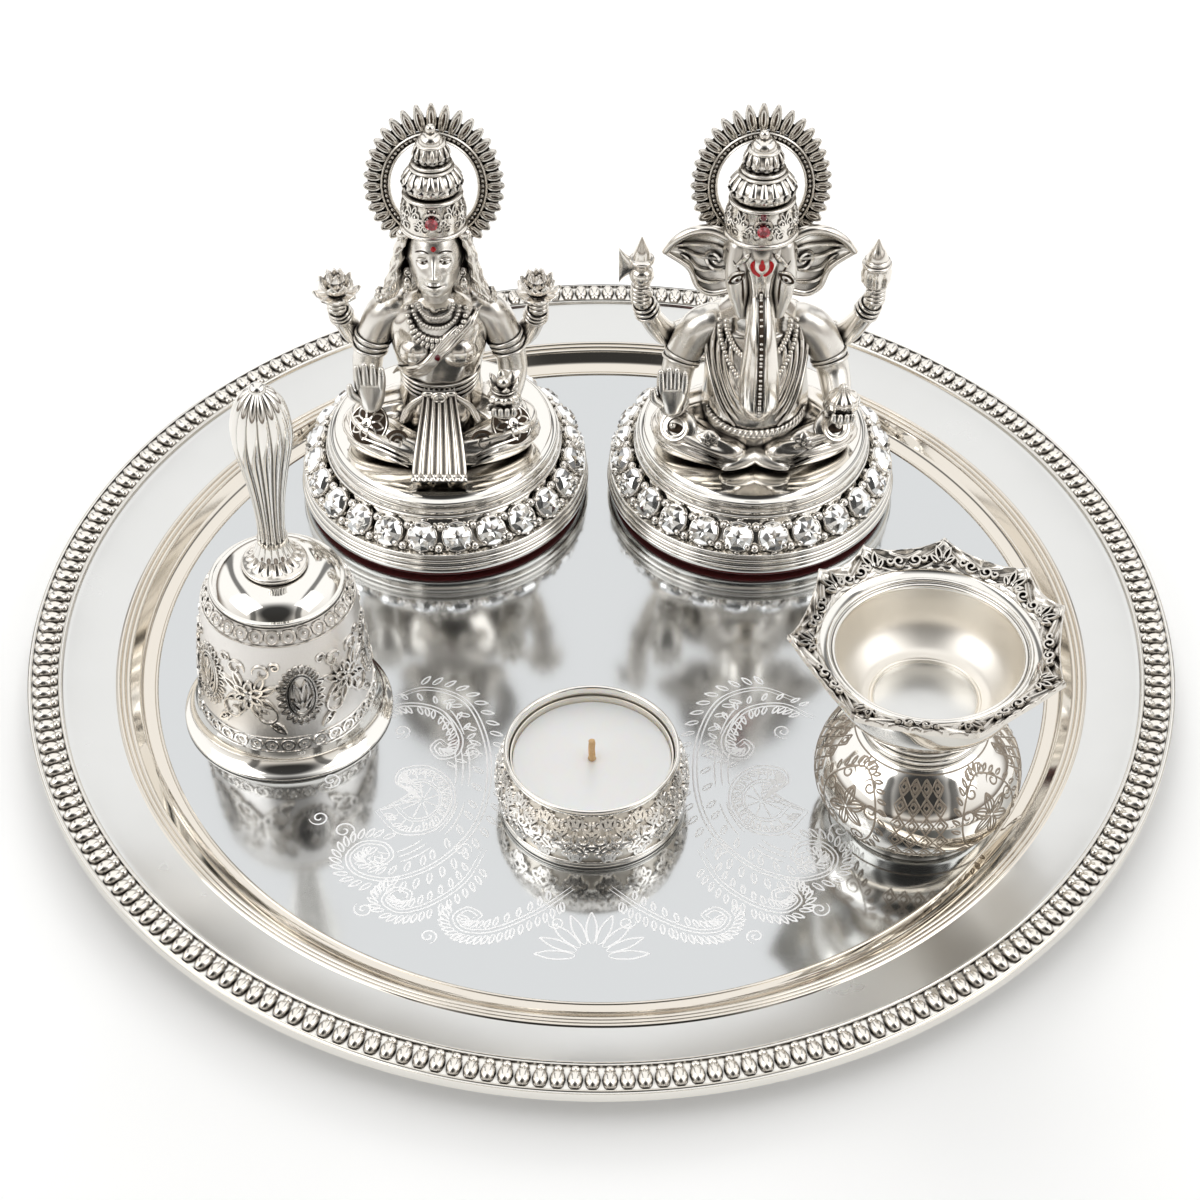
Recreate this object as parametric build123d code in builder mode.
from build123d import *
import math
import os

# A puja thali: a round silver-plated salver that carries two seated figures on stone-set plinths,
# a hand bell with a swinging clapper, a tealight in its holder and an offering bowl.
# Millimetres, +Z up, origin under the middle of the salver on the surface that it stands on.

# Salver: spun dish with a flat floor, a low wall and a wide sloping flange
tray_diameter = 280.0
tray_sheet = 1.2
flange_width = 13.7
wall_run = 6.4
wall_rise = 2.0
roll_run = 1.8
roll_rise = 1.4
flange_rise = 3.8
border_width = 8.6
border_rise = 1.9
border_edge = 1.8
lip_drop = 2.0
lip_thickness = 1.2
border_fit = 0.2

# Places on the floor
idol_row_shift = -0.9
plinth_gap = 4.8
plinth_overhang = 4.2
bell_wall_gap = 6.5
bell_share = 0.37
holder_place = (-2.2, -48.2)
bowl_wall_gap = 3.5
bowl_bearing = -33.6

# Plinths of the two figures
felt_thickness = 1.6
felt_edge = 0.8
felt_taper = 3.2
felt_inset = 1.3
plinth_diameter = 75.0
plinth_wall = 2.6
plinth_top_wall = 2.8
foot_band_height = 6.2
foot_band_step = 0.7
stone_band_height = 7.0
stone_band_run = 5.6
top_band_height = 5.4
top_band_step = 0.9
stone_count = 24
stone_diameter = 7.2
stone_table = 3.6
stone_height = 2.6
collet_diameter = 6.0
collet_stand = 0.5

# Screw that holds each figure down from inside its plinth
screw_diameter = 3.0
screw_head_diameter = 6.0
screw_head_height = 1.8
screw_depth = 5.0
screw_clearance = 0.2

# Figures: heights are above the plinth's top, reach is forward of the plinth's axis
neck_height = 42.0
neck_reach = 3.0
shoulder_level = 35.0
nape_level = 38.5
head_lean = 6.5
joint_swell = 1.03
back_reach = 6.0
hip_height = 3.0
waist_height = 14.0
fist_radius = 3.3
fist_cut = 2.5
rear_arm_radii = (3.3, 3.0, 2.5)
rear_elbow_height = 25.0
palm_thickness = 3.0
crown_seat = 21.0
crown_band_height = 9.5
crown_melon_height = 6.6
crown_ring_height = 1.6
crown_tier_height = 4.4
crown_dome_height = 3.0
finial_diameter = 2.6
halo_back = 6.6
halo_rise = 29.5
halo_thickness = 1.6
halo_ring_width = 26.4
halo_ring_height = 30.0
halo_ring_band = 2.5
petal_count = 31
petal_sweep = 300.0
petal_length = 4.0
petal_extra = 3.6
petal_width = 2.7
ruby_diameter = 3.2
ruby_height = 0.9
ruby_wall = 0.5
ruby_rise = 5.0

# Seated goddess
lakshmi_band_diameter = 17.4
lakshmi_head_width = 13.2
lakshmi_head_height = 19.0
lakshmi_chest_width = 25.0
lakshmi_knee_spread = 19.0
lakshmi_elbow_spread = 18.4
lakshmi_hand_spread = 25.0
lakshmi_hand_height = 39.5
lakshmi_leg_radius = 6.0
lakshmi_arm_radii = (4.2, 3.6, 3.3)
lakshmi_wrist_reach = 13.5
lakshmi_wrist_height = 16.5
lakshmi_palm_width = 6.0
lakshmi_palm_height = 9.0
pleat_width = 13.5
pleat_waist = 8.0
pleat_reach = 23.0
pleat_height = 17.0
tress_radii = (2.6, 2.1)
lotus_diameter = 11.6
lotus_height = 7.4
pendant_height = 31.0
pendant_diameter = 2.0
pot_diameter = 8.0
pot_height = 20.8

# Seated elephant-headed figure
ganesh_band_diameter = 19.2
ganesh_head_width = 19.0
ganesh_head_height = 22.0
ganesh_belly_diameter = 27.0
ganesh_knee_spread = 20.6
ganesh_elbow_spread = 19.4
ganesh_hand_spread = 29.0
ganesh_hand_height = 42.5
ganesh_leg_radius = 6.2
ganesh_arm_radii = (4.6, 4.2, 3.6)
ganesh_wrist_reach = 14.0
ganesh_wrist_height = 14.5
ganesh_palm_width = 7.0
ganesh_palm_height = 8.0
ear_spread = 47.0
ear_thickness = 1.8
ear_root = 6.0
trunk_reach = 20.0
trunk_tip_height = 22.0
trunk_radii = (6.2, 5.3, 4.5, 3.5)
axe_height = 19.0
axe_width = 8.6
axe_thickness = 3.6
mace_height = 17.0
mace_diameter = 7.6
modak_diameter = 8.4
modak_height = 19.6

# Hand bell
bell_mouth_diameter = 50.2
bell_wall = 1.8
lip_height = 5.8
lip_run = 3.9
skirt_height = 31.5
skirt_run = 2.8
shoulder_height = 5.2
shoulder_run = 3.0
dome_height = 5.0
collar_diameter = 14.6
collar_height = 4.2
handle_waist = 6.4
handle_diameter = 14.4
handle_height = 50.0
handle_tip_diameter = 4.4
stud_diameter = 3.6
stud_grip = 22.0
stud_clearance = 0.2
nut_width = 7.0
nut_height = 3.0
staple_ring = 4.4
staple_wire = 1.4
clapper_ring = 3.9
clapper_wire = 1.4
link_play = 0.15
clapper_length = 27.0
clapper_ball_diameter = 9.6
clapper_grip = 4.0

# Tealight and its holder
holder_rim_diameter = 41.0
holder_rim_height = 1.8
holder_belly_diameter = 45.6
holder_foot_diameter = 44.0
holder_base_height = 2.2
holder_wall_height = 14.1
holder_floor = 1.4
tealight_fit = 0.35
tealight_diameter = 38.0
tealight_cup_wall = 0.3
tealight_cup_height = 14.2
wax_height = 12.6
wax_gap = 0.05
wick_diameter = 1.7
wick_stand = 6.0
sustainer_diameter = 12.0
sustainer_height = 0.5

# Offering bowl
bowl_foot_diameter = 35.0
bowl_belly_diameter = 48.0
bowl_belly_height = 12.0
bowl_shoulder_height = 27.0
bowl_neck_diameter = 27.0
bowl_neck_height = 6.0
bowl_wall = 1.4
bowl_well_diameter = 24.0
bowl_cup_height = 16.6
bowl_mouth_diameter = 42.8
bowl_rim_diameter = 65.0
bowl_rim_height = 7.0
bowl_rim_thickness = 1.6
bowl_rim_bend = 16.8
bowl_leaf_count = 9
bowl_leaf_depth = 5.0

# Derived places
tray_r = tray_diameter / 2
border_r = tray_r - border_width
flange_r = border_r - flange_width
floor_r = flange_r - roll_run - wall_run
flange_z = tray_sheet + wall_rise + roll_rise
ledge_z = flange_z + flange_rise
plinth_r = plinth_diameter / 2
felt_r = plinth_r - felt_inset
plinth_z = tray_sheet + felt_thickness
plinth_height = foot_band_height + stone_band_height + top_band_height
seat_z = plinth_z + plinth_height
idol_offset = (plinth_diameter + plinth_gap) / 2
idol_reach = floor_r - plinth_r + plinth_overhang
idol_y = math.sqrt(idol_reach**2 - (idol_offset + abs(idol_row_shift)) ** 2)
lakshmi_place = (idol_row_shift - idol_offset, idol_y)
ganesh_place = (idol_row_shift + idol_offset, idol_y)


def polar_place(reach, bearing):
    """Place on the floor at a distance from the middle and a bearing in degrees from +X."""
    return (reach * math.cos(math.radians(bearing)), reach * math.sin(math.radians(bearing)))


def touch_bearing(reach, neighbour, apart, side):
    """Bearing at which a piece at that reach stands apart from a neighbour, on one side of it.

    A neighbour too far off to be touched from that reach gives its own bearing.
    """
    neighbour_reach = math.hypot(*neighbour)
    cosine = (reach**2 + neighbour_reach**2 - apart**2) / (2 * reach * neighbour_reach)
    swing = math.degrees(math.acos(min(1.0, cosine)))
    return math.degrees(math.atan2(neighbour[1], neighbour[0])) % 360 + side * swing


# The bell stands by the wall, part of the way round from the left plinth to the tealight's holder
bell_reach = floor_r - bell_wall_gap - bell_mouth_diameter / 2
plinth_apart = plinth_r + bell_mouth_diameter / 2
holder_apart = (holder_belly_diameter + bell_mouth_diameter) / 2
plinth_bearing = touch_bearing(bell_reach, lakshmi_place, plinth_apart, 1)
holder_bearing = touch_bearing(bell_reach, holder_place, holder_apart, -1)
bell_bearing = plinth_bearing + bell_share * (holder_bearing - plinth_bearing)
bell_place = polar_place(bell_reach, bell_bearing)
bowl_place = polar_place(floor_r - bowl_wall_gap - bowl_foot_diameter / 2, bowl_bearing)

os.makedirs("parts", exist_ok=True)


def save(piece, label):
    """Label a finished piece and write it to its own file."""
    piece.part.label = label
    export_step(piece.part, f"parts/{label}.step")


def half_section(frame):
    """Plane of a turned piece's half section: local x is radius, local y is height."""
    return Plane(origin=frame.origin, x_dir=frame.x_dir, z_dir=-frame.y_dir)


def spin_axis(frame):
    """Axis that a half section on the frame is turned about."""
    return Axis(frame.origin, frame.z_dir)


def stand(place, height):
    """Level frame above a place on the salver."""
    return Plane(origin=(place[0], place[1], height))


def figure_point(place, across, forward, up):
    """Point of a seated figure: across to the viewer's right, forward of its axis, up from its seat."""
    return (place[0] + across, place[1] - forward, seat_z + up)


def head_frame(place):
    """Frame at the base of a figure's neck, leaning back a little."""
    lean = math.radians(head_lean)
    base = figure_point(place, 0, neck_reach, neck_height)
    return Plane(origin=base, x_dir=(1, 0, 0), z_dir=(0, math.sin(lean), math.cos(lean)))


def ball(centre, radius):
    """Add a ball to the piece being built."""
    with Locations(centre):
        Sphere(radius)


def limb(points, radii):
    """Add a tapered limb through the points to the piece being built, with round joints."""
    for start, end, r_start, r_end in zip(points, points[1:], radii, radii[1:]):
        run = Vector(*end) - Vector(*start)
        with Locations(Plane(origin=start, z_dir=run)):
            Cone(r_start, r_end, run.length, align=(Align.CENTER, Align.CENTER, Align.MIN))
    for point, radius in zip(points, radii):
        ball(point, radius * joint_swell)


# Salver dish: one sheet, drawn as the same line above and below
def dish_line(drop):
    """Line of the dish from the end of its floor to its rim, lowered by drop."""
    roll_r = floor_r + wall_run
    roll_z = tray_sheet + wall_rise - drop
    rim_r = tray_r - lip_thickness - border_fit
    TangentArc((floor_r, tray_sheet - drop), (roll_r, roll_z), tangent=(1, 0))
    ThreePointArc(
        (roll_r, roll_z),
        (roll_r + roll_run * 0.4, roll_z + roll_rise * 0.8),
        (flange_r, roll_z + roll_rise),
    )
    Line((flange_r, flange_z - drop), (border_r, ledge_z - drop))
    Line((border_r, ledge_z - drop), (rim_r, ledge_z - drop))
    return rim_r


with BuildPart() as tray_dish:
    with BuildSketch(half_section(Plane.XY)):
        with BuildLine():
            rim_r = dish_line(0)
            dish_line(tray_sheet)
            Line((rim_r, ledge_z), (rim_r, ledge_z - tray_sheet))
            Polyline((floor_r, 0), (0, 0), (0, tray_sheet), (floor_r, tray_sheet))
        make_face()
    revolve(axis=Axis.Z)
save(tray_dish, "tray_dish")

# Border: a cast ring that sits on the dish's ledge and hangs a lip over its edge
with BuildPart() as tray_border:
    with BuildSketch(half_section(Plane.XY)):
        with BuildLine():
            edge_z = ledge_z - lip_drop + border_edge
            ThreePointArc(
                (border_r, ledge_z),
                (border_r + border_width * 0.45, ledge_z + border_rise),
                (tray_r, edge_z),
            )
            Polyline(
                (tray_r, edge_z),
                (tray_r, ledge_z - lip_drop),
                (tray_r - lip_thickness, ledge_z - lip_drop),
                (tray_r - lip_thickness, ledge_z),
                (border_r, ledge_z),
            )
        make_face()
    revolve(axis=Axis.Z)
save(tray_border, "tray_border")


# Plinths
band_bottom_r = plinth_r - 2 * foot_band_step
band_top_r = band_bottom_r - stone_band_run
band_z = plinth_z + foot_band_height
band_top_z = band_z + stone_band_height
cap_r = band_top_r - 2 * top_band_step
slope = math.atan2(stone_band_run, stone_band_height)


def stone_frames(place, stand_off):
    """Frames round the sloping band, one for each stone, facing out and standing off by that much."""
    middle_r = (band_bottom_r + band_top_r) / 2 + stand_off * math.cos(slope)
    middle_z = (band_z + band_top_z) / 2 + stand_off * math.sin(slope)
    frames = []
    for index in range(stone_count):
        turn = 2 * math.pi * (index + 0.5) / stone_count - math.pi / 2
        out = (math.cos(turn), math.sin(turn))
        frames.append(
            Plane(
                origin=(place[0] + middle_r * out[0], place[1] + middle_r * out[1], middle_z),
                x_dir=(-out[1], out[0], 0),
                z_dir=(math.cos(slope) * out[0], math.cos(slope) * out[1], math.sin(slope)),
            )
        )
    return frames


def make_felt(name, place):
    """Felt pad under a plinth, narrower below so that it clears the foot of the salver's wall."""
    frame = stand(place, tray_sheet)
    with BuildPart() as felt:
        with BuildSketch(half_section(frame)):
            with BuildLine():
                Polyline(
                    (0, 0),
                    (felt_r - felt_taper, 0),
                    (felt_r, felt_edge),
                    (felt_r, felt_thickness),
                    (0, felt_thickness),
                    close=True,
                )
            make_face()
        revolve(axis=spin_axis(frame))
    save(felt, f"{name}_felt")


def make_plinth(name, place):
    """Hollow turned plinth with stepped bands and a ring of flat stone seats."""
    frame = stand(place, 0)
    step_r = plinth_r - foot_band_step
    lower_step_z = plinth_z + foot_band_height * 0.45
    lip_r = band_top_r - top_band_step
    lip_z = band_top_z + top_band_height * 0.5
    hollow_z = seat_z - plinth_top_wall
    with BuildPart() as plinth:
        with BuildSketch(half_section(frame)):
            with BuildLine():
                ThreePointArc(
                    (felt_r, plinth_z),
                    (plinth_r, (plinth_z + lower_step_z) / 2),
                    (step_r, lower_step_z),
                )
                Polyline(
                    (step_r, lower_step_z),
                    (step_r, band_z),
                    (band_bottom_r, band_z),
                    (band_top_r, band_top_z),
                    (band_top_r, lip_z),
                    (lip_r, lip_z),
                    (lip_r, seat_z - top_band_step),
                    (cap_r, seat_z),
                    (screw_diameter / 2 + screw_clearance, seat_z),
                    (screw_diameter / 2 + screw_clearance, hollow_z),
                    (cap_r - plinth_wall, hollow_z),
                    (band_bottom_r - plinth_wall, plinth_z),
                    (felt_r, plinth_z),
                )
            make_face()
        revolve(axis=spin_axis(frame))
        with Locations(*stone_frames(place, collet_stand)):
            Cylinder(
                collet_diameter / 2,
                collet_stand + plinth_wall / 2,
                align=(Align.CENTER, Align.CENTER, Align.MAX),
            )
    save(plinth, f"{name}_plinth")


def make_crystals(name, place):
    """Ring of round brilliant stones, each flat on its seat."""
    girdle = stone_height * 0.35
    with BuildPart() as crystals:
        for frame in stone_frames(place, collet_stand):
            with BuildSketch(half_section(frame)):
                with BuildLine():
                    Polyline(
                        (0, 0),
                        (collet_diameter / 2, 0),
                        (stone_diameter / 2, girdle),
                        (stone_table / 2, stone_height),
                        (0, stone_height),
                        close=True,
                    )
                make_face()
            revolve(axis=spin_axis(frame))
    save(crystals, f"{name}_crystals")


def make_screw(name, place):
    """Pan-head screw that passes up through the plinth's top into the figure."""
    with BuildPart() as screw:
        with Locations(stand(place, seat_z - plinth_top_wall)):
            Cylinder(
                screw_head_diameter / 2,
                screw_head_height,
                align=(Align.CENTER, Align.CENTER, Align.MAX),
            )
            Cylinder(
                screw_diameter / 2,
                plinth_top_wall + screw_depth,
                align=(Align.CENTER, Align.CENTER, Align.MIN),
            )
    save(screw, f"{name}_screw")


def cut_screw_hole(place):
    """Cut the blind hole for the holding screw into the figure being built."""
    with Locations(stand(place, seat_z)):
        Cylinder(
            screw_diameter / 2 + screw_clearance,
            screw_depth + screw_clearance,
            align=(Align.CENTER, Align.CENTER, Align.MIN),
            mode=Mode.SUBTRACT,
        )


# Crown, halo and stones, which the two figures share
def make_crown(name, place, band_diameter):
    """Tiered crown turned about the leaning axis of the head, with a flat-ended stone setting."""
    frame = head_frame(place).offset(crown_seat)
    band_r = band_diameter / 2
    neck_r = band_r * 0.74
    melon_r = band_r * 0.84
    tier_r = band_r * 0.52
    dome_r = band_r * 0.38
    z1 = crown_band_height
    z2 = z1 + crown_melon_height
    z3 = z2 + crown_ring_height
    z4 = z3 + crown_tier_height
    z5 = z4 + crown_dome_height
    with BuildPart() as crown:
        with BuildSketch(half_section(frame)):
            with BuildLine():
                Line((0, 0), (band_r, 0))
                ThreePointArc((band_r, 0), (band_r * 0.98, z1 * 0.5), (neck_r, z1))
                ThreePointArc((neck_r, z1), (melon_r, (z1 + z2) / 2), (tier_r, z2))
                Line((tier_r, z2), (tier_r, z3))
                ThreePointArc((tier_r, z3), (tier_r * 1.06, (z3 + z4) / 2), (dome_r, z4))
                ThreePointArc((dome_r, z4), (dome_r * 0.8, (z4 + z5) / 2), (finial_diameter / 4, z5))
                Polyline((finial_diameter / 4, z5), (0, z5), (0, 0))
            make_face()
        revolve(axis=spin_axis(frame))
        ball(frame.from_local_coords((0, 0, z5 + finial_diameter * 0.35)), finial_diameter / 2)
        with Locations(ruby_frame(place, band_diameter)):
            Cylinder(
                ruby_diameter / 2 + ruby_wall,
                band_r / 2,
                align=(Align.CENTER, Align.CENTER, Align.MAX),
            )
    save(crown, f"{name}_crown")


def ruby_frame(place, band_diameter):
    """Frame of the flat stone seat on the front of the crown's band, facing forward."""
    frame = head_frame(place)
    seat = frame.from_local_coords((0, -band_diameter / 2 - ruby_wall, crown_seat + ruby_rise))
    return Plane(origin=seat, x_dir=(1, 0, 0), z_dir=-frame.y_dir)


def make_stone(label, frame, diameter):
    """Low round stone on a flat seat."""
    with BuildPart() as stone:
        with Locations(frame):
            Cone(
                diameter / 2,
                diameter * 0.3,
                ruby_height,
                align=(Align.CENTER, Align.CENTER, Align.MIN),
            )
    save(stone, label)


def make_halo(name, place):
    """Pierced halo: an oval ring with a fan of pointed petals, longest at the top."""
    frame = head_frame(place)
    middle = frame.from_local_coords((0, halo_back, halo_rise))
    plane = Plane(origin=middle, x_dir=(-1, 0, 0), z_dir=frame.y_dir)
    half_w = halo_ring_width / 2
    half_h = halo_ring_height / 2
    with BuildPart() as halo:
        with BuildSketch(plane):
            Ellipse(half_w, half_h)
            for index in range(petal_count):
                degrees = 90 + petal_sweep * (index / (petal_count - 1) - 0.5)
                turn = math.radians(degrees)
                root = ((half_w - ruby_wall) * math.cos(turn), (half_h - ruby_wall) * math.sin(turn))
                reach = ruby_wall + petal_length + petal_extra * max(math.sin(turn), 0) ** 3
                with Locations(Location((*root, 0), (0, 0, degrees))):
                    Polygon(
                        (0, -petal_width * 0.35),
                        (reach * 0.45, -petal_width / 2),
                        (reach, 0),
                        (reach * 0.45, petal_width / 2),
                        (0, petal_width * 0.35),
                        align=None,
                    )
            Ellipse(half_w - halo_ring_band, half_h - halo_ring_band, mode=Mode.SUBTRACT)
        extrude(amount=halo_thickness)
    save(halo, f"{name}_halo")


def trim_head(place):
    """Cut the head being built flat at the neck, under the crown and against the halo."""
    frame = head_frame(place)
    split(bisect_by=stand(place, seat_z + neck_height), keep=Keep.TOP)
    split(bisect_by=frame.offset(crown_seat), keep=Keep.BOTTOM)
    halo_front = frame.from_local_coords((0, halo_back, 0))
    split(bisect_by=Plane(origin=halo_front, z_dir=frame.y_dir), keep=Keep.BOTTOM)


def add_torso(place, sections):
    """Add a lofted trunk to the figure being built, from (up, half width, half depth, forward)."""
    outlines = []
    for up, half_width, half_depth, forward in sections:
        with BuildSketch(Plane(origin=figure_point(place, 0, forward, up))) as outline:
            Ellipse(half_width, half_depth)
        outlines.append(outline.sketch)
    loft(sections=outlines)


def add_crossed_legs(place, spread, thickness):
    """Add two folded legs: hip to knee, then knee to the opposite foot in front."""
    rise = thickness * 0.9
    for side in (-1, 1):
        hip = figure_point(place, side * spread * 0.35, -2.0, rise)
        knee = figure_point(place, side * spread, 6.5, rise)
        foot = figure_point(place, -side * spread * 0.25, 14.5, rise * 0.8)
        limb((hip, knee, foot), (thickness * 1.15, thickness, thickness * 0.72))


def rear_arm_points(place, side, elbow_spread, hand_spread, hand_height):
    """Shoulder, elbow and wrist of a raised rear arm."""
    return (
        figure_point(place, side * 8.0, -back_reach, shoulder_level - 2.0),
        figure_point(place, side * elbow_spread, -back_reach + 1.0, rear_elbow_height),
        figure_point(place, side * hand_spread, 0, hand_height),
    )


def make_rear_arm(label, place, side, elbow_spread, hand_spread, hand_height):
    """Raised rear arm: flat against the back at its root, with a flat-topped fist."""
    points = rear_arm_points(place, side, elbow_spread, hand_spread, hand_height)
    with BuildPart() as arm:
        limb(points, rear_arm_radii)
        ball(figure_point(place, side * hand_spread, 0, hand_height), fist_radius)
        split(bisect_by=stand(place, seat_z + hand_height + fist_cut), keep=Keep.BOTTOM)
        with Locations(figure_point(place, 0, -back_reach, 0)):
            Box(
                2 * (elbow_spread - rear_arm_radii[0]),
                2 * back_reach,
                neck_height,
                align=(Align.CENTER, Align.MAX, Align.MIN),
                mode=Mode.SUBTRACT,
            )
    save(arm, label)
    return figure_point(place, side * hand_spread, 0, hand_height + fist_cut)


def make_turned(label, base, outline):
    """Small turned piece that stands on base, from an outline of (radius, height) points."""
    frame = Plane(origin=base)
    with BuildPart() as piece:
        with BuildSketch(half_section(frame)):
            with BuildLine():
                Polyline((0, outline[0][1]), *outline, (0, outline[-1][1]), close=True)
            make_face()
        revolve(axis=spin_axis(frame))
    save(piece, label)


def make_base_set(name, place):
    """Everything that a figure stands on and is held by."""
    make_felt(name, place)
    make_plinth(name, place)
    make_crystals(name, place)
    make_screw(name, place)


# Seated goddess on the left plinth
make_base_set("lakshmi", lakshmi_place)
pendant_face = lakshmi_chest_width * 0.36 + ruby_wall
pendant_seat = Plane(
    origin=figure_point(lakshmi_place, 0, pendant_face, pendant_height), x_dir=(1, 0, 0), z_dir=(0, -1, 0)
)
lakshmi_palm_spread = lakshmi_elbow_spread * 0.9
lakshmi_palm_reach = lakshmi_wrist_reach + palm_thickness / 2
pot_base = figure_point(lakshmi_place, lakshmi_palm_spread, lakshmi_palm_reach, pot_height)
with BuildPart() as lakshmi_body:
    add_torso(
        lakshmi_place,
        (
            (hip_height, lakshmi_chest_width * 0.48, 10.0, 0.0),
            (waist_height, lakshmi_chest_width * 0.42, 8.0, 0.5),
            (waist_height + 6.0, lakshmi_chest_width * 0.41, 7.6, 1.0),
            (shoulder_level - 6.0, lakshmi_chest_width * 0.5, 8.6, 0.6),
            (shoulder_level, lakshmi_chest_width * 0.5, 7.0, 0.4),
            (nape_level, lakshmi_chest_width * 0.3, 5.2, 1.4),
            (neck_height, 3.8, 3.8, neck_reach),
        ),
    )
    add_crossed_legs(lakshmi_place, lakshmi_knee_spread, lakshmi_leg_radius)
    for arm_side in (-1, 1):
        shoulder_across = arm_side * lakshmi_chest_width * 0.52
        shoulder = figure_point(lakshmi_place, shoulder_across, 0.5, shoulder_level - 1.0)
        elbow = figure_point(lakshmi_place, arm_side * lakshmi_elbow_spread, 2.0, waist_height + 6.0)
        wrist = figure_point(
            lakshmi_place, arm_side * lakshmi_palm_spread, lakshmi_wrist_reach, lakshmi_wrist_height
        )
        limb((shoulder, elbow, wrist), lakshmi_arm_radii)
    palm = figure_point(lakshmi_place, -lakshmi_palm_spread, lakshmi_palm_reach, lakshmi_wrist_height + 1.0)
    with Locations(palm):
        Box(
            lakshmi_palm_width,
            palm_thickness,
            lakshmi_palm_height,
            align=(Align.CENTER, Align.CENTER, Align.MIN),
        )
    with Locations(pot_base):
        Cylinder(
            pot_diameter * 0.34,
            pot_height - lakshmi_wrist_height + lakshmi_arm_radii[2] / 2,
            align=(Align.CENTER, Align.CENTER, Align.MAX),
        )
    with BuildSketch(Plane(origin=figure_point(lakshmi_place, 0, pleat_reach * 0.7, 0))):
        Rectangle(pleat_width, pleat_reach * 0.6)
    with BuildSketch(Plane(origin=figure_point(lakshmi_place, 0, 8.0, pleat_height))):
        Rectangle(pleat_waist, palm_thickness)
    loft()
    with Locations(pendant_seat):
        Cylinder(
            pendant_diameter / 2 + ruby_wall,
            lakshmi_chest_width * 0.25,
            align=(Align.CENTER, Align.CENTER, Align.MAX),
        )
    split(bisect_by=stand(lakshmi_place, seat_z), keep=Keep.TOP)
    split(bisect_by=stand(lakshmi_place, seat_z + neck_height), keep=Keep.BOTTOM)
    split(
        bisect_by=Plane(origin=figure_point(lakshmi_place, 0, -back_reach, 0), z_dir=(0, 1, 0)),
        keep=Keep.BOTTOM,
    )
    cut_screw_hole(lakshmi_place)
save(lakshmi_body, "lakshmi_body")

with BuildPart() as lakshmi_head:
    head = head_frame(lakshmi_place)
    middle_z = crown_seat - lakshmi_head_height * 0.3
    with BuildSketch(half_section(head)):
        with BuildLine():
            EllipticalCenterArc(
                (0, middle_z),
                lakshmi_head_width / 2,
                lakshmi_head_height / 2,
                start_angle=-90,
                arc_size=180,
            )
            Line((0, middle_z - lakshmi_head_height / 2), (0, middle_z + lakshmi_head_height / 2))
        make_face()
    revolve(axis=spin_axis(head))
    limb(
        (
            figure_point(lakshmi_place, 0, neck_reach, neck_height - 2.0),
            head.from_local_coords((0, 0.5, middle_z)),
        ),
        (3.6, 4.0),
    )
    limb(
        (head.from_local_coords((0, 3.0, crown_seat - 3.0)), head.from_local_coords((0, 4.6, 2.0))),
        (6.4, 5.0),
    )
    for tress_side in (-1, 1):
        limb(
            (
                head.from_local_coords((tress_side * 5.6, 2.5, crown_seat - 5.0)),
                head.from_local_coords((tress_side * 8.6, 2.2, 3.4)),
            ),
            tress_radii,
        )
    trim_head(lakshmi_place)
save(lakshmi_head, "lakshmi_head")

make_crown("lakshmi", lakshmi_place, lakshmi_band_diameter)
make_stone("lakshmi_crown_ruby", ruby_frame(lakshmi_place, lakshmi_band_diameter), ruby_diameter)
make_halo("lakshmi", lakshmi_place)
make_stone("lakshmi_pendant_ruby", pendant_seat, pendant_diameter)
make_turned(
    "lakshmi_pot",
    pot_base,
    (
        (pot_diameter * 0.3, 0),
        (pot_diameter * 0.5, pot_diameter * 0.35),
        (pot_diameter * 0.28, pot_diameter * 0.7),
        (pot_diameter * 0.4, pot_diameter * 0.82),
        (pot_diameter * 0.3, pot_diameter * 0.95),
    ),
)
for arm_side, arm_name in ((-1, "right"), (1, "left")):
    lotus_base = make_rear_arm(
        f"lakshmi_{arm_name}_arm",
        lakshmi_place,
        arm_side,
        lakshmi_elbow_spread + 2.4,
        lakshmi_hand_spread,
        lakshmi_hand_height,
    )
    make_turned(
        f"lakshmi_{arm_name}_lotus",
        lotus_base,
        (
            (1.0, 0),
            (1.2, lotus_height * 0.2),
            (lotus_diameter / 2, lotus_height * 0.42),
            (lotus_diameter * 0.4, lotus_height * 0.8),
            (lotus_diameter * 0.14, lotus_height),
        ),
    )

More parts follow.
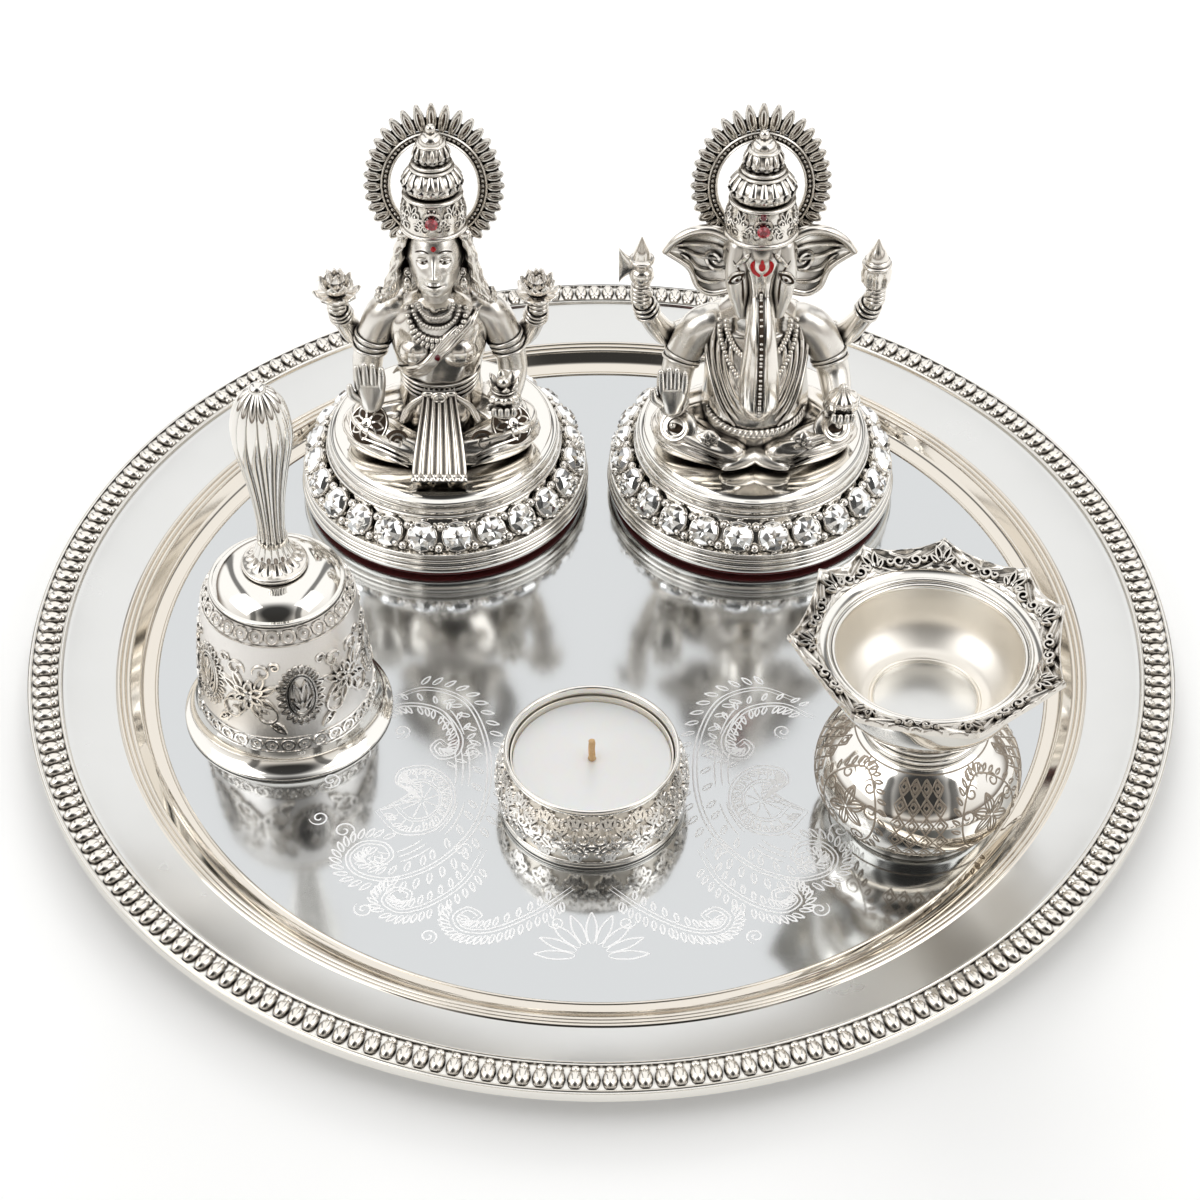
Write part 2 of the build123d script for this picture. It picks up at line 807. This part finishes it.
# Seated elephant-headed figure on the right plinth
make_base_set("ganesh", ganesh_place)
ganesh_palm_spread = ganesh_elbow_spread * 1.1
ganesh_palm_reach = ganesh_wrist_reach + palm_thickness / 2
modak_base = figure_point(ganesh_place, ganesh_palm_spread, ganesh_palm_reach + 0.5, modak_height)
with BuildPart() as ganesh_body:
    add_torso(
        ganesh_place,
        (
            (hip_height, ganesh_belly_diameter * 0.48, 11.0, 0.0),
            (waist_height, ganesh_belly_diameter * 0.5, 11.0, 2.0),
            (waist_height + 8.0, ganesh_belly_diameter * 0.48, 9.6, 1.6),
            (shoulder_level - 5.0, ganesh_belly_diameter * 0.46, 8.4, 0.6),
            (shoulder_level + 1.0, ganesh_belly_diameter * 0.42, 7.0, 0.4),
            (neck_height, 6.0, 5.2, neck_reach),
        ),
    )
    add_crossed_legs(ganesh_place, ganesh_knee_spread, ganesh_leg_radius)
    ball(figure_point(ganesh_place, 0, 4.0, waist_height), ganesh_belly_diameter * 0.48)
    for arm_side in (-1, 1):
        shoulder_across = arm_side * ganesh_belly_diameter * 0.47
        shoulder = figure_point(ganesh_place, shoulder_across, 0.5, shoulder_level - 2.0)
        elbow = figure_point(ganesh_place, arm_side * ganesh_elbow_spread, 3.0, waist_height + 7.0)
        wrist = figure_point(
            ganesh_place, arm_side * ganesh_palm_spread, ganesh_wrist_reach, ganesh_wrist_height
        )
        limb((shoulder, elbow, wrist), ganesh_arm_radii)
    palm = figure_point(ganesh_place, -ganesh_palm_spread, ganesh_palm_reach, ganesh_wrist_height + 1.5)
    with Locations(palm):
        Box(
            ganesh_palm_width,
            palm_thickness,
            ganesh_palm_height,
            align=(Align.CENTER, Align.CENTER, Align.MIN),
        )
    with Locations(modak_base):
        Cylinder(
            modak_diameter * 0.36,
            modak_height - ganesh_wrist_height,
            align=(Align.CENTER, Align.CENTER, Align.MAX),
        )
    split(bisect_by=stand(ganesh_place, seat_z), keep=Keep.TOP)
    split(bisect_by=stand(ganesh_place, seat_z + neck_height), keep=Keep.BOTTOM)
    split(
        bisect_by=Plane(origin=figure_point(ganesh_place, 0, -back_reach, 0), z_dir=(0, 1, 0)),
        keep=Keep.BOTTOM,
    )
    cut_screw_hole(ganesh_place)
save(ganesh_body, "ganesh_body")

trunk_tip = figure_point(ganesh_place, 0, trunk_reach, trunk_tip_height)
with BuildPart() as ganesh_head:
    head = head_frame(ganesh_place)
    middle_z = crown_seat - ganesh_head_height * 0.28
    with BuildSketch(half_section(head)):
        with BuildLine():
            EllipticalCenterArc(
                (0, middle_z),
                ganesh_head_width / 2,
                ganesh_head_height / 2,
                start_angle=-90,
                arc_size=180,
            )
            Line((0, middle_z - ganesh_head_height / 2), (0, middle_z + ganesh_head_height / 2))
        make_face()
    revolve(axis=spin_axis(head))
    limb(
        (head.from_local_coords((0, 3.6, crown_seat - 4.0)), head.from_local_coords((0, 4.2, 2.0))),
        (6.2, 5.0),
    )
    trim_head(ganesh_place)
    limb(
        (
            head.from_local_coords((0, -4.6, crown_seat - 7.0)),
            figure_point(ganesh_place, 0, trunk_reach - 3.0, neck_height + 5.0),
            figure_point(ganesh_place, 0, trunk_reach, neck_height - 7.0),
            trunk_tip,
        ),
        trunk_radii,
    )
    ear_front = head.from_local_coords((0, 1.0, 0))
    for ear_side in (-1, 1):
        ear_x = ear_spread / 2
        with BuildSketch(Plane(origin=ear_front, x_dir=(1, 0, 0), z_dir=head.y_dir)):
            with BuildLine():
                ThreePointArc(
                    (ear_side * ear_root, -crown_seat + 3.0),
                    (ear_side * ear_x * 0.72, -crown_seat + 0.5),
                    (ear_side * ear_x, -crown_seat * 0.66),
                )
                ThreePointArc(
                    (ear_side * ear_x, -crown_seat * 0.66),
                    (ear_side * ear_x * 0.86, -crown_seat * 0.36),
                    (ear_side * ear_x * 0.62, -2.4),
                )
                Line((ear_side * ear_x * 0.62, -2.4), (ear_side * ear_root, -8.0))
                Line((ear_side * ear_root, -8.0), (ear_side * ear_root, -crown_seat + 3.0))
            make_face()
        extrude(amount=ear_thickness)
save(ganesh_head, "ganesh_head")

make_crown("ganesh", ganesh_place, ganesh_band_diameter)
make_stone("ganesh_crown_ruby", ruby_frame(ganesh_place, ganesh_band_diameter), ruby_diameter)
make_halo("ganesh", ganesh_place)
make_turned(
    "ganesh_modak",
    modak_base,
    (
        (modak_diameter * 0.36, 0),
        (modak_diameter * 0.5, modak_diameter * 0.25),
        (modak_diameter * 0.34, modak_diameter * 0.6),
        (modak_diameter * 0.08, modak_diameter * 0.9),
    ),
)
right_fist = make_rear_arm(
    "ganesh_right_arm",
    ganesh_place,
    -1,
    ganesh_elbow_spread + 2.6,
    ganesh_hand_spread,
    ganesh_hand_height,
)
left_fist = make_rear_arm(
    "ganesh_left_arm",
    ganesh_place,
    1,
    ganesh_elbow_spread + 2.6,
    ganesh_hand_spread,
    ganesh_hand_height,
)
with BuildPart() as ganesh_axe:
    with BuildSketch(Plane(origin=right_fist, x_dir=(1, 0, 0), z_dir=(0, -1, 0))):
        with BuildLine():
            half = axe_width / 2
            Polyline(
                (-1.4, 0),
                (1.4, 0),
                (1.8, axe_height * 0.2),
                (half * 0.7, axe_height * 0.3),
                (half * 0.7, axe_height * 0.72),
                (0.6, axe_height),
                (-half * 0.4, axe_height * 0.75),
                (-half, axe_height * 0.85),
                (-half * 1.1, axe_height * 0.5),
                (-half, axe_height * 0.25),
                (-1.8, axe_height * 0.35),
                close=True,
            )
        make_face()
    extrude(amount=axe_thickness / 2, both=True)
save(ganesh_axe, "ganesh_axe")
make_turned(
    "ganesh_mace",
    left_fist,
    (
        (1.4, 0),
        (1.6, mace_height * 0.12),
        (mace_diameter * 0.42, mace_height * 0.2),
        (mace_diameter * 0.5, mace_height * 0.66),
        (mace_diameter * 0.4, mace_height * 0.72),
        (0.4, mace_height),
    ),
)

# Hand bell: cup, collar and handle on one stud, with the clapper hung from the stud's eye
bell = stand(bell_place, tray_sheet)
mouth_r = bell_mouth_diameter / 2
crease_r = mouth_r - lip_run
waist_r = crease_r - skirt_run
shoulder_r = waist_r - shoulder_run
skirt_z = lip_height + skirt_height
shoulder_z = skirt_z + shoulder_height
bell_top_z = shoulder_z + dome_height
roof_z = bell_top_z - bell_wall
collar_r = collar_diameter / 2
stud_hole_r = stud_diameter / 2 + stud_clearance


with BuildPart() as bell_cup:
    with BuildSketch(half_section(bell)):
        with BuildLine():
            Line((mouth_r, 0), (mouth_r, bell_wall / 2))
            RadiusArc((mouth_r, bell_wall / 2), (crease_r, lip_height), 1.6 * lip_height)
            Polyline((crease_r, lip_height), (waist_r, skirt_z), (shoulder_r, shoulder_z))
            ThreePointArc(
                (shoulder_r, shoulder_z),
                ((shoulder_r + collar_r) / 2, shoulder_z + dome_height * 0.66),
                (collar_r, bell_top_z),
            )
            Polyline(
                (collar_r, bell_top_z),
                (stud_hole_r, bell_top_z),
                (stud_hole_r, roof_z),
                (collar_r, roof_z),
            )
            ThreePointArc(
                (collar_r, roof_z),
                ((shoulder_r + collar_r) / 2 - bell_wall / 2, roof_z - dome_height * 0.4),
                (shoulder_r - bell_wall, shoulder_z - bell_wall),
            )
            Polyline(
                (shoulder_r - bell_wall, shoulder_z - bell_wall),
                (waist_r - bell_wall, skirt_z - bell_wall),
                (crease_r - bell_wall, lip_height),
                (mouth_r - bell_wall, 0),
                (mouth_r, 0),
            )
        make_face()
    revolve(axis=spin_axis(bell))
save(bell_cup, "bell_cup")

with BuildPart() as bell_collar:
    with BuildSketch(half_section(bell)):
        with BuildLine():
            waist = handle_waist / 2
            top_z = bell_top_z + collar_height
            Line((stud_hole_r, bell_top_z), (collar_r, bell_top_z))
            Line((collar_r, bell_top_z), (collar_r, bell_top_z + collar_height * 0.35))
            ThreePointArc(
                (collar_r, bell_top_z + collar_height * 0.35),
                ((collar_r + waist) / 2 - 0.8, bell_top_z + collar_height * 0.62),
                (waist + 0.4, top_z),
            )
            Polyline((waist + 0.4, top_z), (stud_hole_r, top_z), (stud_hole_r, bell_top_z))
        make_face()
    revolve(axis=spin_axis(bell))
save(bell_collar, "bell_collar")

with BuildPart() as bell_handle:
    foot_z = bell_top_z + collar_height
    tip_r = handle_tip_diameter / 2
    club_r = handle_diameter / 2
    club_z = foot_z + handle_height * 0.74
    crest_z = foot_z + handle_height - tip_r
    bore_z = foot_z + stud_grip + stud_clearance
    with BuildSketch(half_section(bell)):
        with BuildLine():
            Spline(
                (handle_waist / 2, foot_z),
                (handle_waist * 0.53, foot_z + handle_height * 0.2),
                (club_r, club_z),
                tangents=((0, 1), (0, 1)),
            )
            ThreePointArc(
                (club_r, club_z),
                (club_r * 0.77, (club_z + 2 * crest_z) / 3),
                (tip_r / 2, crest_z),
            )
            Polyline(
                (tip_r / 2, crest_z),
                (0, crest_z),
                (0, bore_z),
                (stud_hole_r, bore_z),
                (stud_hole_r, foot_z),
                (handle_waist / 2, foot_z),
            )
        make_face()
    revolve(axis=spin_axis(bell))
    with Locations(bell.offset(crest_z)):
        Sphere(tip_r)
save(bell_handle, "bell_handle")

staple_z = roof_z - nut_height - (staple_ring + staple_wire) / 2
pivot_z = staple_z - staple_ring / 2
with BuildPart() as bell_stud:
    with Locations(bell.offset(roof_z - nut_height)):
        Cylinder(
            stud_diameter / 2,
            nut_height + bell_wall + collar_height + stud_grip,
            align=(Align.CENTER, Align.CENTER, Align.MIN),
        )
    with Locations(bell.offset(roof_z - nut_height)):
        Cylinder(
            stud_diameter / 2,
            staple_wire,
            align=(Align.CENTER, Align.CENTER, Align.MAX),
        )
    with Locations(half_section(bell.offset(staple_z))):
        Torus(staple_ring / 2, staple_wire / 2)
save(bell_stud, "bell_stud")

with BuildPart() as bell_nut:
    with BuildSketch(bell.offset(roof_z)):
        RegularPolygon(nut_width / 2, 6, major_radius=False)
        Circle(stud_hole_r, mode=Mode.SUBTRACT)
    extrude(amount=-nut_height)
save(bell_nut, "bell_nut")

eye_z = pivot_z + (staple_wire + clapper_wire) / 2 + link_play - clapper_ring / 2
rod_top_z = eye_z - clapper_ring / 2
ball_z = pivot_z - clapper_length
grip_z = ball_z + clapper_ball_diameter / 2 - clapper_grip
with BuildPart() as clapper_rod:
    eye = bell.offset(eye_z)
    with Locations(Plane(origin=eye.origin, z_dir=(1, 0, 0))):
        Torus(clapper_ring / 2, clapper_wire / 2)
    with Locations(bell.offset(rod_top_z)):
        Cylinder(clapper_wire / 2, rod_top_z - grip_z, align=(Align.CENTER, Align.CENTER, Align.MAX))
save(clapper_rod, "clapper_rod")

with BuildPart() as clapper_ball:
    with Locations(bell.offset(ball_z)):
        Sphere(clapper_ball_diameter / 2)
    with Locations(bell.offset(grip_z)):
        Cylinder(
            clapper_wire / 2 + stud_clearance / 2,
            clapper_ball_diameter,
            align=(Align.CENTER, Align.CENTER, Align.MIN),
            mode=Mode.SUBTRACT,
        )
save(clapper_ball, "clapper_ball")

# Tealight holder: base plate, embossed wall and rolled rim, stacked on flat seats
holder = stand(holder_place, tray_sheet)
holder_bore_r = tealight_diameter / 2 + tealight_fit
holder_wall_z = holder_base_height + holder_wall_height
with BuildPart() as holder_base:
    with BuildSketch(half_section(holder)):
        with BuildLine():
            base_r = holder_foot_diameter / 2
            Polyline((0, 0), (base_r, 0))
            ThreePointArc(
                (base_r, 0),
                (base_r + holder_base_height * 0.25, holder_base_height / 2),
                (base_r, holder_base_height),
            )
            Polyline(
                (base_r, holder_base_height),
                (holder_bore_r, holder_base_height),
                (holder_bore_r, holder_floor),
                (0, holder_floor),
                (0, 0),
            )
        make_face()
    revolve(axis=spin_axis(holder))
save(holder_base, "holder_base")

with BuildPart() as holder_wall:
    with BuildSketch(half_section(holder)):
        with BuildLine():
            ThreePointArc(
                (holder_foot_diameter / 2, holder_base_height),
                (holder_belly_diameter / 2, holder_base_height + holder_wall_height * 0.45),
                (holder_rim_diameter / 2, holder_wall_z),
            )
            Polyline(
                (holder_rim_diameter / 2, holder_wall_z),
                (holder_bore_r, holder_wall_z),
                (holder_bore_r, holder_base_height),
                (holder_foot_diameter / 2, holder_base_height),
            )
        make_face()
    revolve(axis=spin_axis(holder))
save(holder_wall, "holder_wall")

with BuildPart() as holder_rim:
    with BuildSketch(half_section(holder)):
        with BuildLine():
            rim_top_z = holder_wall_z + holder_rim_height
            rim_outer_r = holder_rim_diameter / 2
            Line((holder_bore_r, holder_wall_z), (rim_outer_r, holder_wall_z))
            Line((rim_outer_r, holder_wall_z), (rim_outer_r, rim_top_z - holder_rim_height * 0.4))
            ThreePointArc(
                (rim_outer_r, rim_top_z - holder_rim_height * 0.4),
                ((rim_outer_r + holder_bore_r) / 2, rim_top_z),
                (holder_bore_r, rim_top_z - holder_rim_height * 0.4),
            )
            Line((holder_bore_r, rim_top_z - holder_rim_height * 0.4), (holder_bore_r, holder_wall_z))
        make_face()
    revolve(axis=spin_axis(holder))
save(holder_rim, "holder_rim")

# Tealight: thin cup, wax, wick and the sustainer that holds the wick
light = holder.offset(holder_floor)
cup_r = tealight_diameter / 2
wax_r = cup_r - tealight_cup_wall - wax_gap
wick_hole_r = wick_diameter / 2 + wax_gap
with BuildPart() as tealight_cup:
    with BuildSketch(half_section(light)):
        with BuildLine():
            Polyline(
                (0, 0),
                (cup_r, 0),
                (cup_r, tealight_cup_height),
                (cup_r - tealight_cup_wall, tealight_cup_height),
                (cup_r - tealight_cup_wall, tealight_cup_wall),
                (0, tealight_cup_wall),
                close=True,
            )
        make_face()
    revolve(axis=spin_axis(light))
save(tealight_cup, "tealight_cup")

with BuildPart() as tealight_sustainer:
    with Locations(light.offset(tealight_cup_wall)):
        Cylinder(
            sustainer_diameter / 2,
            sustainer_height,
            align=(Align.CENTER, Align.CENTER, Align.MIN),
        )
save(tealight_sustainer, "tealight_sustainer")

sustainer_top = tealight_cup_wall + sustainer_height
with BuildPart() as tealight_wax:
    with BuildSketch(half_section(light)):
        with BuildLine():
            Polyline(
                (wick_hole_r, sustainer_top),
                (sustainer_diameter / 2 + wax_gap, sustainer_top),
                (sustainer_diameter / 2 + wax_gap, tealight_cup_wall),
                (wax_r, tealight_cup_wall),
                (wax_r, tealight_cup_wall + wax_height),
                (wick_hole_r, tealight_cup_wall + wax_height),
                close=True,
            )
        make_face()
    revolve(axis=spin_axis(light))
save(tealight_wax, "tealight_wax")

with BuildPart() as tealight_wick:
    with Locations(light.offset(sustainer_top)):
        Cylinder(
            wick_diameter / 2,
            wax_height - sustainer_height + wick_stand,
            align=(Align.CENTER, Align.CENTER, Align.MIN),
        )
save(tealight_wick, "tealight_wick")

# Offering bowl: hollow belly, ringed neck, cup and a flared leaf rim
bowl = stand(bowl_place, tray_sheet)
neck_r = bowl_neck_diameter / 2
bowl_cup_z = bowl_shoulder_height + bowl_neck_height
mouth_z = bowl_cup_z + bowl_cup_height
bowl_mouth_r = bowl_mouth_diameter / 2
well_r = bowl_well_diameter / 2
with BuildPart() as bowl_belly:
    with BuildSketch(half_section(bowl)):
        with BuildLine():
            foot_r = bowl_foot_diameter / 2
            belly_r = bowl_belly_diameter / 2
            Polyline((0, 0), (foot_r, 0), (foot_r, bowl_wall))
            Spline(
                (foot_r, bowl_wall),
                (belly_r, bowl_belly_height),
                (neck_r, bowl_shoulder_height),
                tangents=((1, 0.3), (-0.4, 1)),
            )
            Polyline(
                (neck_r, bowl_shoulder_height),
                (neck_r - bowl_wall, bowl_shoulder_height),
            )
            Spline(
                (neck_r - bowl_wall, bowl_shoulder_height),
                (belly_r - bowl_wall, bowl_belly_height),
                (foot_r - bowl_wall, 2 * bowl_wall),
                tangents=((0.4, -1), (-1, -0.3)),
            )
            Polyline((foot_r - bowl_wall, 2 * bowl_wall), (0, 2 * bowl_wall), (0, 0))
        make_face()
    revolve(axis=spin_axis(bowl))
save(bowl_belly, "bowl_belly")

with BuildPart() as bowl_neck:
    with BuildSketch(half_section(bowl)):
        with BuildLine():
            ring_z = bowl_shoulder_height + bowl_neck_height / 2
            inner_r = well_r - bowl_wall / 2
            Line((inner_r, bowl_shoulder_height), (neck_r, bowl_shoulder_height))
            ThreePointArc(
                (neck_r, bowl_shoulder_height),
                (neck_r + bowl_wall, (bowl_shoulder_height + ring_z) / 2),
                (neck_r, ring_z),
            )
            ThreePointArc(
                (neck_r, ring_z), (neck_r - bowl_wall / 2, (ring_z + bowl_cup_z) / 2), (neck_r, bowl_cup_z)
            )
            Polyline((neck_r, bowl_cup_z), (inner_r, bowl_cup_z), (inner_r, bowl_shoulder_height))
        make_face()
    revolve(axis=spin_axis(bowl))
save(bowl_neck, "bowl_neck")

with BuildPart() as bowl_cup:
    with BuildSketch(half_section(bowl)):
        with BuildLine():
            lip_r = bowl_mouth_r + bowl_wall
            Polyline((0, bowl_cup_z), (neck_r, bowl_cup_z))
            ThreePointArc(
                (neck_r, bowl_cup_z),
                (lip_r - bowl_wall, bowl_cup_z + bowl_cup_height * 0.5),
                (lip_r, mouth_z),
            )
            Line((lip_r, mouth_z), (bowl_mouth_r, mouth_z))
            ThreePointArc(
                (bowl_mouth_r, mouth_z),
                (bowl_mouth_r - bowl_wall, bowl_cup_z + bowl_cup_height * 0.5),
                (well_r, bowl_cup_z + bowl_wall),
            )
            Polyline((well_r, bowl_cup_z + bowl_wall), (0, bowl_cup_z + bowl_wall), (0, bowl_cup_z))
        make_face()
    revolve(axis=spin_axis(bowl))
save(bowl_cup, "bowl_cup")

with BuildPart() as bowl_rim:
    with BuildSketch(half_section(bowl)):
        with BuildLine():
            tip_r = bowl_rim_diameter / 2
            tip_z = mouth_z + bowl_rim_height
            Line((bowl_mouth_r, mouth_z), (lip_r, mouth_z))
            RadiusArc((lip_r, mouth_z), (tip_r, tip_z - bowl_rim_thickness), bowl_rim_bend)
            Line((tip_r, tip_z - bowl_rim_thickness), (tip_r, tip_z))
            RadiusArc((tip_r, tip_z), (bowl_mouth_r, mouth_z), -bowl_rim_bend)
        make_face()
    revolve(axis=spin_axis(bowl))
    notch_r = bowl_leaf_depth
    with Locations(bowl.offset(mouth_z)):
        with PolarLocations(tip_r + notch_r * 0.4, bowl_leaf_count):
            Cylinder(
                notch_r,
                4 * bowl_rim_height,
                mode=Mode.SUBTRACT,
            )
save(bowl_rim, "bowl_rim")
